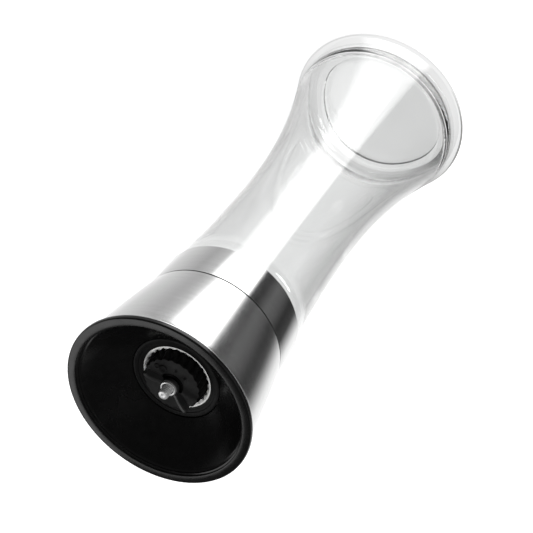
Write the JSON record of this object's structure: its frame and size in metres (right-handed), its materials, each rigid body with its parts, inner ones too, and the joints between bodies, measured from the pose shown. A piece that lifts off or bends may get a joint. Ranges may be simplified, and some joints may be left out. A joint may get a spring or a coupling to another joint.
{
  "type": "pepper mill",
  "caption": "Hourglass glass jar with a brushed steel grinding head, ceramic burrs inside its black funnel and a wing nut that sets the grind.",
  "frame": {"origin": "centre of the jar's foot, on the surface that the mill stands on", "axes": "+Z along the mill's axis, from the jar's foot to the grinding mouth; +X is 9 degrees from one wing of the adjuster at rest, counted anticlockwise from above"},
  "size_m": [0.0688, 0.0688, 0.19],
  "materials": {
    "clear_glass": "clear, polished",
    "silicone": "matt, translucent grey",
    "black_plastic": "moulded, glossy",
    "brushed_steel": "brushed round the axis",
    "white_washer": "low-friction, matt",
    "spring_steel": "drawn",
    "bright_steel": "bright turned",
    "burr_black": "moulded, satin",
    "white_ceramic": "fired white ceramic, satin"
  },
  "bodies": {
    "jar": {"glass_jar": "clear_glass"},
    "seal": {"neck_gasket": "silicone"},
    "neck": {"neck_carrier": "black_plastic", "collar_sleeve": "brushed_steel", "thrust_washer": "white_washer", "swivel_clip": "spring_steel", "drive_bridge": "black_plastic", "spindle": "bright_steel", "spindle_clip": "spring_steel", "spring_seat_washer": "bright_steel", "spring": "spring_steel"},
    "head": {"skirt_liner": "black_plastic", "skirt_shell": "brushed_steel", "throat_ring": "black_plastic", "stator": "white_ceramic", "stator_cushion": "silicone"},
    "rotor": {"rotor": "burr_black", "rotor_bush": "bright_steel", "spring_cap": "black_plastic"},
    "adjuster": {"wing_nut": "burr_black", "nut_insert": "bright_steel", "nut_washer": "bright_steel"}
  },
  "joints": [
    {"name": "neck_lift", "type": "slide", "parent": "jar", "child": "seal", "axis": [0, 0, 1], "range_m": [0, 0.006]},
    {"name": "neck_unscrew", "type": "hinge", "parent": "seal", "child": "neck", "pos_m": [0, 0, 0.15], "axis": [0, 0, 1], "range_deg": [0, 541]},
    {"name": "head_grind", "type": "hinge", "parent": "neck", "child": "head", "pos_m": [0, 0, 0.153], "axis": [0, 0, 1], "continuous": true},
    {"name": "rotor_travel", "type": "slide", "parent": "neck", "child": "rotor", "axis": [0, 0, 1], "range_m": [-0.0007, 0.0007], "deforming": ["spring"]},
    {"name": "grind_adjust", "type": "hinge", "parent": "rotor", "child": "adjuster", "pos_m": [0, 0, 0.182], "axis": [0, 0, 1], "range_deg": [-361, 361]}
  ],
  "couplings": [
    {"joint": "neck_unscrew", "follows": "neck_lift", "rad_per_m": 1570.8},
    {"joint": "grind_adjust", "follows": "rotor_travel", "rad_per_m": 8976}
  ]
}
